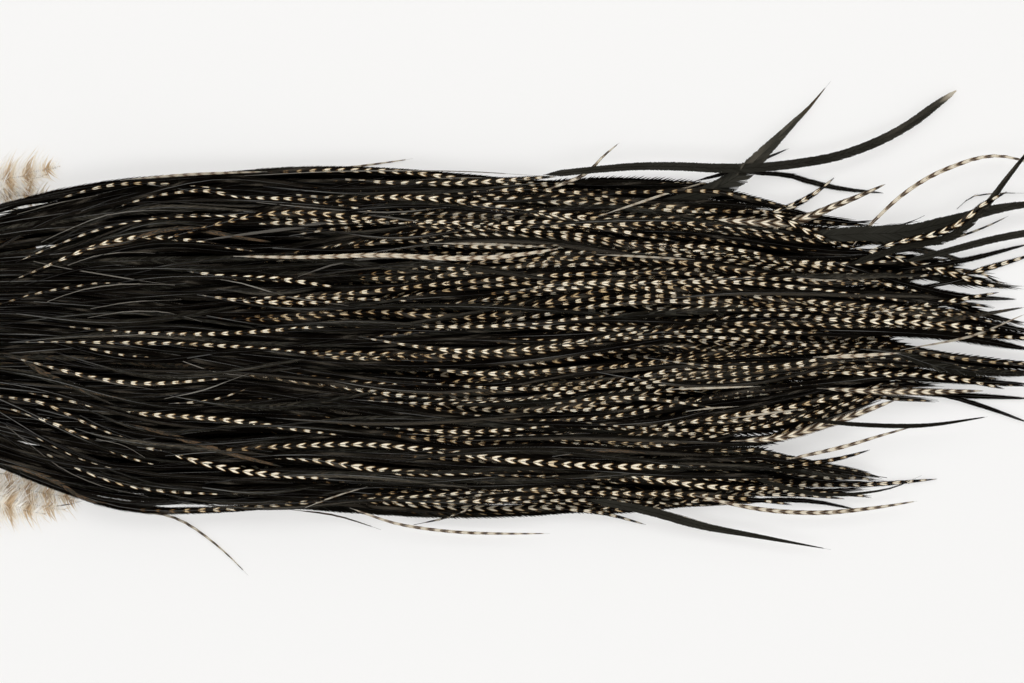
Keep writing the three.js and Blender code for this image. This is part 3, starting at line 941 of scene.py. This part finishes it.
TUFTS = 40  # along each flank
TUFT_LENGTH, TUFT_WIDTH, TUFT_HEIGHT = (14, 24), (5.0, 9.0), (1.4, 2.8)
DOWN_SIZES = {
    "Seed": 7, "Cover": 0.85, "Unevenness": 0.65, "Curl": 0.25, "Fluff": 0.2, "Flatness": 0.6,
    "Barb angle": math.radians(68), "Barb segments": 2, "Bar slant": 0.3, "Widest vane": 9 * MM,
    "Droop": math.radians(-5)}


FLANK_STEP = 6.0  # between the places where the down's edges are read
FLANK_READ = 7.0  # how far before and behind such a place its corners count
FLANK_END = 4.0  # from the down's front end to the first of them


def flank_edges(node):
    """The inner and outer edge of a patch of down: rows of x and both distances from the middle line."""
    corners = corners_of(node)
    first, last = corners[:, 0].min() + FLANK_END, corners[:, 0].max() + FLANK_END - FLANK_STEP
    rows = []
    for x in np.arange(first, last, FLANK_STEP):
        beside = np.abs(corners[np.abs(corners[:, 0] - x) < FLANK_READ, 1])
        rows.append((x, beside.min(), beside.max()))
    return np.array(rows)


def down_pieces():
    """Down along both flanks: soft, banded feathers that lean to the tail, with long loose barbs."""
    for name in ("right_flank_down", "left_flank_down"):
        rng = np.random.default_rng(len(name))
        rows = flank_edges(name)
        low, high = rows[0, 0] - FLANK_END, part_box(name)[1].x / MM
        outward = 1 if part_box(name)[1].y > 0 else -1
        feathers = []
        for k in range(TUFTS):
            share = (k + rng.uniform(0.1, 0.9)) / TUFTS
            length = rng.uniform(*TUFT_LENGTH)
            at = np.linspace(0, length, 10)
            x = low + share * (high + 5 - length - low) + at
            inner, outer = (np.interp(x, rows[:, 0], rows[:, edge]) for edge in (1, 2))
            inward = rng.uniform(0.05, 0.65)  # its root's place from the inner edge to the outer one
            y = outward * (inner + (outer - inner) * (inward + rng.uniform(0.05, 0.3) * at / length) - 2.0)
            points = np.column_stack([x, y, rng.uniform(*TUFT_HEIGHT) + 0.03 * at])
            feathers.append(feather(
                points, rng.uniform(*TUFT_WIDTH), barred=1.0, taper=8, shaft=0.1, spacing=0.58, pitch=5.6,
                phase=rng.normal(0, 0.08), slim_root=0.7, tone=rng.uniform(0, 1),
            ))
        ready(grow(name + "_tufts", feathers, DOWN, **DOWN_SIZES), "down", name)


INSIDE_OUTLINE = 12  # nearer to its middle than this, a solid's corners aren't on its outline


def closed_outline(node, count):
    """Points round the outline of a flat solid, smooth between its corners."""
    corners = corners_of(node)
    flat = np.unique(np.round(corners[corners[:, 2] > 0.6 * corners[:, 2].max()][:, :2], 1), axis=0)
    middle = (flat.min(axis=0) + flat.max(axis=0)) / 2
    flat = flat[np.linalg.norm(flat - middle, axis=1) > INSIDE_OUTLINE]
    flat = flat[np.argsort(np.arctan2(*(flat - middle).T[::-1]))]
    closed = np.vstack([flat[-2:], flat, flat[:3]])
    along = distances(closed)
    return middle, smooth_through(along, closed, np.linspace(along[2], along[-3], count, endpoint=False))


SKIN_ROUND = 144  # points round its edge
# Rings of points, by their distance from the middle over the edge's
SKIN_TOP_RINGS = (0.1, 0.2, 0.3, 0.4, 0.5, 0.6, 0.7, 0.78, 0.85, 0.9, 0.94, 0.97, 0.99, 1.0)
SKIN_BOTTOM_RINGS = (0.99, 0.96, 0.85, 0.65, 0.45, 0.25, 0.1)
WRINKLES = 0.1  # their height
ROLLED_DOWN, ROLLED_UP = 0.42, 0.28  # how far the edge is, from above and from below, over the thickness


def skin_piece():
    """The dried skin: a thin shield with a rolled edge, wavy on top and flat below."""
    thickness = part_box("skin_patch")[1].z / MM
    middle, edge = closed_outline("skin_patch", SKIN_ROUND)
    rings = []
    for share in SKIN_TOP_RINGS:
        flat = middle + (edge - middle) * share
        waves = np.sin(flat[:, 0] * 0.31 + 2 * np.sin(flat[:, 1] * 0.13)) * np.sin(flat[:, 1] * 0.27 + 1.0)
        kept = 1 - ROLLED_DOWN * float(ease(0.9, 1.0, share))
        rings.append(np.column_stack([flat, (thickness + WRINKLES * waves) * kept]))
    for share in SKIN_BOTTOM_RINGS:
        lifted = ROLLED_UP * thickness * float(ease(0.95, 1.0, share))
        rings.append(np.column_stack([middle + (edge - middle) * share, np.full(SKIN_ROUND, lifted)]))
    points = np.vstack([[*middle, thickness], *rings, [*middle, 0.0]])
    last, count = len(points) - 1, SKIN_ROUND
    around = [(i, (i + 1) % count) for i in range(count)]
    faces = [(0, 1 + i, 1 + j) for i, j in around]
    for ring in range(len(rings) - 1):
        a, b = 1 + ring * count, 1 + (ring + 1) * count
        faces += [(a + i, b + i, b + j, a + j) for i, j in around]
    faces += [(last, last - count + j, last - count + i) for i, j in around]
    mesh = bpy.data.meshes.new("skin")
    mesh.from_pydata((points * MM).tolist(), [], faces)
    mesh.shade_smooth()
    uv = mesh.uv_layers.new(name="OFBake")
    low = points[:, :2].min(axis=0)
    size = points[:, :2].max(axis=0) - low
    below = count * len(SKIN_TOP_RINGS)
    for face in mesh.polygons:
        half = 0.5 if face.index >= below else 0.0
        for corner in face.loop_indices:
            u, v = (points[mesh.loops[corner].vertex_index, :2] - low) / size
            uv.data[corner].uv = (half + 0.01 + 0.48 * u, 0.01 + 0.98 * v)
    mesh.materials.append(HIDE)
    ready(new_object("skin", mesh), "skin", "skin_patch")


FRONT_FEATHERS = 100
FRONT_REACH = 36  # the depth of the strip that they grow on
BARE_EDGE = 3.5  # before it
SHOULDERS_FROM = 16  # behind which they grow only at the skin's sides
# Half the width that they grow on, at places behind the skin's front edge
FRONT_WIDTHS = np.array([(0, 8.6), (6, 16.34), (20, 22.36), (50, 30.1)])
SKIN_TOP = 1.7  # where feathers lie beside the pile


def front_feathers():
    """Short feathers over the front of the skin and its shoulders, where the long ones leave it bare."""
    rng = np.random.default_rng(5)
    low, high = (np.array(corner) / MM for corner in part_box("skin_patch"))
    middle = (low[1] + high[1]) / 2
    feathers = []
    for k in range(FRONT_FEATHERS):
        share = (k + rng.uniform()) / FRONT_FEATHERS
        behind = BARE_EDGE + FRONT_REACH * share**1.3
        side = rng.uniform(-1, 1)
        if behind > SHOULDERS_FROM:
            side = math.copysign(rng.uniform(0.55, 1.0), side)
        root = low[0] + behind, middle + side * np.interp(behind, *FRONT_WIDTHS.T)

        # It leans outward, and less so towards its tip, and is longer farther back
        length = rng.uniform(16, 26) + 8 * share
        at = np.linspace(0, length, 9)
        lean = math.radians(34 * side + rng.normal(0, 6)) * np.linspace(1.15, 0.55, len(at))
        way = np.cumsum([np.cos(lean), np.sin(lean)], axis=1).T * length / len(at)
        flat = np.array(root) + way
        ground = evened(np.array([max(pile_top(*place), SKIN_TOP) for place in flat]), 1)
        height = ground + 0.15 + 0.5 * ease(0, 1, at / length) + 0.6 * rng.uniform()
        feathers.append(feather(
            np.column_stack([flat, height]), rng.uniform(1.5, 2.6), taper=0.6 * length, slim_root=0.5,
            tone=rng.choice(TONES, p=TONE_SHARES), roll=math.radians(rng.normal(0, 9)),
            barred=0.9 if rng.uniform() < 0.12 else 0.0, shaft=0.14, spacing=1.0,
        ))
    ready(grow("short_front_feathers", feathers, FEATHER, Seed=3), "feather")


# Materials


def ramp(value, stops):
    """A colour for each value from 0 to 1, smooth between the stops."""
    made = add(value.tree, "ShaderNodeValToRGB", {0: value})
    elements = made.node.color_ramp.elements
    while len(elements) < len(stops):
        elements.new(0.5)
    for element, (place, colour) in zip(elements, stops):
        element.position = place
        element.color = (*colour, 1)
    return made


def attribute(tree, name):
    return add(tree, "ShaderNodeAttribute", output="Fac", attribute_name=name)


def blend_colours(share, first, second):
    return add(share.tree, "ShaderNodeMix", {"Factor": share, "A": first, "B": second}, data_type="RGBA")


def noise_along(place, scale, detail=1.0):
    """Noise that changes along a feather only."""
    return add(
        place.tree, "ShaderNodeTexNoise", {"W": place, "Scale": scale, "Detail": detail}, "Fac",
        noise_dimensions="1D")


def new_material(name, **inputs):
    """A material whose shader has these inputs, with spaces for the underscores in their names."""
    material = bpy.data.materials.new(name)
    material.use_nodes = True
    principled = material.node_tree.nodes["Principled BSDF"]
    for key, value in inputs.items():
        principled.inputs[key.replace("_", " ")].default_value = value
    return material, material.node_tree, principled


STRIP_APART = 731.0  # from one feather's noise to the next one's, which is longer than any feather


def place_on_feather(tree):
    """How far along its feather a point lies, in millimetres, with a start of its own for each feather."""
    return attribute(tree, "strip") * STRIP_APART + attribute(tree, "along") * (1 / MM)


BAR_WIDTHS = (0.108, 0.378)  # the least and most half width, over the distance from bar to bar
BAR_FADE = 0.22  # the stretch in which a bar's edge fades, over the same
BAR_RAGGED = 0.36  # how far a bar strays along the feather, over the same
TONE_CHANGE = 0.08  # how far the tone between the bars strays along a feather, to both sides


def feather_material():
    """Glossy black, olive or brown vanes, with cream bars on those that are barred."""
    material, tree, principled = new_material(
        "barred_feather", Roughness=0.16, Specular_IOR_Level=0.06, Specular_Tint=(1.0, 0.86, 0.66, 1))
    place = place_on_feather(tree)
    edge, strength, fleck = (attribute(tree, name) for name in ("edge", "strength", "fleck"))

    # A bar's middle, how far out it reaches on the vane, and how wide and bright it is
    ragged = (noise_along(place, 1.3, 2.0) - 0.5) * BAR_RAGGED
    from_middle = reckon("ABSOLUTE", reckon("FRACT", attribute(tree, "bar_place") + ragged) - 0.5)
    within = clamped((strength * 0.5 + 0.28 - edge) * 3.0)
    narrow, wide = BAR_WIDTHS
    half_bar = within * strength * (noise_along(place, 0.33) * (wide - narrow) + narrow)
    amount = clamped((half_bar - from_middle) / BAR_FADE + 0.45)
    bright = noise_along(place, 0.12) * 0.7 + 0.65
    amount = clamped(clamped(amount * bright) * (within * strength))
    amount = clamped(amount * 1.15)
    bar_colour = ramp(amount, [
        (0.0, (0.006, 0.003, 0.0015)), (0.3, (0.06, 0.025, 0.008)), (0.55, (0.38, 0.21, 0.08)),
        (0.8, (0.74, 0.56, 0.31)), (1.0, (0.93, 0.85, 0.69)),
    ])

    # The ground between the bars, with barbs that differ in tone at random and painted sheen on the palest
    # of them, and the look of a pale feather
    tone = attribute(tree, "tone") + (noise_along(place, 0.045) - 0.5) * (2 * TONE_CHANGE)
    # Painted sheen: the barbs whose random value is highest are lightened towards grey, standing in for
    # gloss.
    painted_sheen = clamped(fleck - 0.65) * 0.45
    ground = ramp(tone * (fleck * 1.1 + 0.45) + painted_sheen, [
        (0.0, (0.002, 0.0014, 0.001)), (0.3, (0.013, 0.012, 0.009)), (0.45, (0.034, 0.033, 0.027)),
        (0.65, (0.054, 0.043, 0.029)), (1.0, (0.14, 0.088, 0.05)),
    ])
    light = ramp(from_middle * (strength * 1.2 + 0.8), [
        (0.0, (0.82, 0.75, 0.62)), (0.45, (0.72, 0.61, 0.45)), (0.7, (0.2, 0.12, 0.07)),
        (1.0, (0.06, 0.038, 0.025)),
    ])
    dark = blend_colours(amount, ground, bar_colour)
    link(blend_colours(attribute(tree, "pale"), dark, light), principled, "Base Color")
    return material


def quill_material():
    """Dark, polished shafts with long stretches of painted grey highlight, and pale ones on pale feathers.
    """
    material, tree, principled = new_material("quill", Roughness=0.3, Specular_IOR_Level=0.3)
    # Painted highlight: long stretches of each dark shaft are painted light grey, standing in for its
    # gleam.
    painted_gleam = clamped((noise_along(place_on_feather(tree), 0.022) - 0.53) * 6.0)
    dark = blend_colours(painted_gleam, (0.005, 0.004, 0.003, 1), (0.13, 0.128, 0.12, 1))
    colour = blend_colours(attribute(tree, "pale"), dark, (0.55, 0.5, 0.42, 1))
    link(colour, principled, "Base Color")
    return material


def down_material():
    """Cream down with tan and brown bands."""
    material, tree, principled = new_material(
        "banded_down", Roughness=0.85, Specular_IOR_Level=0.1, Sheen_Weight=0.7, Sheen_Roughness=0.5)
    ragged = noise_along(place_on_feather(tree), 0.9, 2.0) * 0.4 - 0.2
    bar = reckon("FRACT", attribute(tree, "bar_place") + ragged)
    from_middle = reckon("ABSOLUTE", bar - 0.5) * 2.0
    colour = ramp(attribute(tree, "edge") * 0.45 + from_middle, [
        (0.0, (0.42, 0.26, 0.13)), (0.3, (0.64, 0.47, 0.28)), (0.6, (0.92, 0.84, 0.7)),
        (1.0, (0.98, 0.95, 0.9)),
    ])
    link(colour, principled, "Base Color")
    return material


def hide_material():
    """Dried skin, amber with darker pores."""
    material, tree, principled = new_material("dried_skin", Roughness=0.5, Specular_IOR_Level=0.4)
    place = add(tree, "ShaderNodeTexCoord", output="Object")
    clouds = add(
        tree, "ShaderNodeTexNoise", {"Vector": place, "Scale": 90.0, "Detail": 4.0}, "Fac",
        noise_dimensions="3D")
    cells = add(tree, "ShaderNodeTexVoronoi", {"Vector": place, "Scale": 420.0}, "Distance")
    pore = clamped(1.0 - cells * 4.0)
    amber = ramp(clouds, [
        (0.25, (0.30, 0.165, 0.075)), (0.5, (0.47, 0.29, 0.15)), (0.75, (0.62, 0.44, 0.26))])
    link(blend_colours(pore * 0.5, amber, (0.16, 0.08, 0.04, 1)), principled, "Base Color")
    bump = add(
        tree, "ShaderNodeBump", {"Height": clouds - pore * 0.3, "Strength": 0.5, "Distance": 0.0006})
    link(bump, principled, "Normal")
    return material


# Camera, floor and light

FLOOR_REACH = 4.0  # metres to each side
SIGHT_HEIGHT = 6.0  # the height that the view's width is measured at


def overhead_camera():
    data = bpy.data.cameras.new("camera")
    data.lens, data.sensor_width, data.clip_end = 90, 36, 50
    camera = new_object("camera", data)
    x, y = at_pixel(1024 / 2, 683 / 2)
    distance = SIGHT_WIDTH * data.lens / data.sensor_width
    camera.location = (x * MM, y * MM, (distance + SIGHT_HEIGHT) * MM)
    bpy.context.scene.camera = camera


def pale_floor():
    mesh = bpy.data.meshes.new("floor")
    corners = [(x * FLOOR_REACH, y * FLOOR_REACH, 0) for x, y in ((-1, -1), (1, -1), (1, 1), (-1, 1))]
    mesh.from_pydata(corners, [], [(0, 1, 2, 3)])
    white, _, _ = new_material(
        "pale_floor", Roughness=1.0, Specular_IOR_Level=0.0, Base_Color=(0.40, 0.398, 0.395, 1),
        Emission_Color=(0.545, 0.54, 0.532, 1), Emission_Strength=1.0)
    mesh.materials.append(white)
    new_object("floor", mesh)


# Soft lights over the hackle: their side, elevation in degrees above the floor, width in metres, power in
# watts, and whether they give only the gleam on what is polished, or all other light
LIGHTS = {
    "upper_window": (1, 60, 0.5, 5.8, False),
    "lower_window": (-1, 60, 0.5, 5.0, False),
    "upper_gleam": (1, 66, 0.06, 6.0, True),
    "lower_gleam": (-1, 58, 0.06, 6.0, True),
}
LIGHT_LENGTH = 1.5  # metres, like the next
LIGHT_DISTANCE = 1.1


def soft_light():
    """A pale room that is darker overhead, where the camera is, with two long windows and their gleam."""
    world = bpy.data.worlds.new("soft_room")
    bpy.context.scene.world = world
    world.use_nodes = True
    direction = add(world.node_tree, "ShaderNodeTexCoord", output="Generated")
    height = add(world.node_tree, "ShaderNodeSeparateXYZ", {0: direction}, "Z")
    shade = ramp(height, [(0.0, (1.0,) * 3), (0.45, (1.0,) * 3), (0.75, (0.06,) * 3), (1.0, (0.03,) * 3)])
    link(shade, world.node_tree.nodes["Background"], "Color")
    for name, (side, elevation, width, power, is_gleam) in LIGHTS.items():
        data = bpy.data.lights.new(name, "AREA")
        data.shape, data.energy = "RECTANGLE", power
        data.size, data.size_y = LIGHT_LENGTH, width
        light = new_object(name, data)
        turn = math.radians(90 - elevation)
        light.location = (0, side * LIGHT_DISTANCE * math.sin(turn), LIGHT_DISTANCE * math.cos(turn))
        light.rotation_euler = (-side * turn, 0, 0)
        light.visible_diffuse, light.visible_glossy = not is_gleam, is_gleam
    bpy.context.scene.view_settings.view_transform = "Standard"


overhead_camera()
pale_floor()
soft_light()
FEATHER_TREE = feather_tree()
FEATHER = feather_material()
QUILL = quill_material()
DOWN = down_material()
HIDE = hide_material()
lock_pieces()
single_pieces()
loose_pieces()
crossing_pieces()
down_pieces()
front_feathers()
skin_piece()
